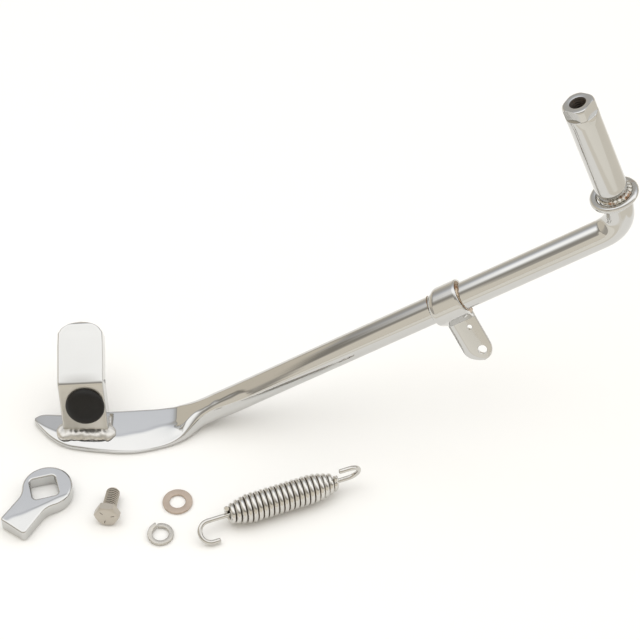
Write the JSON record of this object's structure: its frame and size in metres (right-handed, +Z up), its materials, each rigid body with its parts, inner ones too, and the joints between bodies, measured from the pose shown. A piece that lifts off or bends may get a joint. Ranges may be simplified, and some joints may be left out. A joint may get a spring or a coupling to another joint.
{
  "type": "motorcycle kickstand",
  "caption": "Round-bar side stand with flat foot pad, toe tab and bumper, pivot shaft and spring bracket, beside its stop cam, bolt, washers and return spring.",
  "frame": {"origin": "middle of the underside of the whole assembly's box, on the ground plane the foot pad and the loose pieces rest on", "axes": "+X along the leg from the foot pad towards the elbow, +Y from the loose pieces towards the leg and the toe tab's back, +Z up"},
  "size_m": [0.3464, 0.1276, 0.2356],
  "materials": {
    "chrome": "polished chrome plate",
    "weld": "chromed weld bead, uneven",
    "zinc": "dull zinc plate",
    "plated_brown": "brownish zinc plate",
    "spring_steel": "plated spring wire",
    "rubber": "matt black moulded rubber"
  },
  "bodies": {
    "stand": {"leg_bar": "chrome", "pivot_shaft": "chrome", "shaft_collar": "chrome", "collar_weld": "weld", "toe_tab": "chrome", "toe_tab_weld": "weld", "bumper": "rubber", "spring_bracket": "chrome", "bracket_braze_left": "weld", "bracket_braze_right": "weld"},
    "cam": {"leg_stop_cam": "chrome"},
    "bolt": {"hex_bolt": "zinc"},
    "lock": {"lock_washer": "zinc"},
    "washer": {"flat_washer": "plated_brown"},
    "coil": {"spring_coil": "spring_steel"},
    "hook_left": {"spring_hook_left": "spring_steel"},
    "hook_right": {"spring_hook_right": "spring_steel"}
  },
  "joints": [
    {"name": "cam_lift", "type": "slide", "parent": "stand", "child": "cam", "axis": [0, 0, 1], "range_m": [0, 0.06]},
    {"name": "bolt_lift", "type": "slide", "parent": "stand", "child": "bolt", "axis": [0, 0, 1], "range_m": [0, 0.06]},
    {"name": "lock_washer_lift", "type": "slide", "parent": "stand", "child": "lock", "axis": [0, 0, 1], "range_m": [0, 0.06]},
    {"name": "flat_washer_lift", "type": "slide", "parent": "stand", "child": "washer", "axis": [0, 0, 1], "range_m": [0, 0.06]},
    {"name": "spring_lift", "type": "slide", "parent": "stand", "child": "coil", "axis": [0, 0, 1], "range_m": [0, 0.06]},
    {"name": "left_hook_swivel", "type": "hinge", "parent": "coil", "child": "hook_left", "pos_m": [-0.04762, -0.04838, 0.00845], "axis": [-0.933, -0.36, 0], "range_deg": [0, 120]},
    {"name": "spring_stretch", "type": "slide", "parent": "coil", "child": "hook_right", "axis": [0.933, 0.36, 0], "range_m": [0, 0.02], "stiffness_N_per_m": 300, "deforming": ["spring_coil"]}
  ]
}
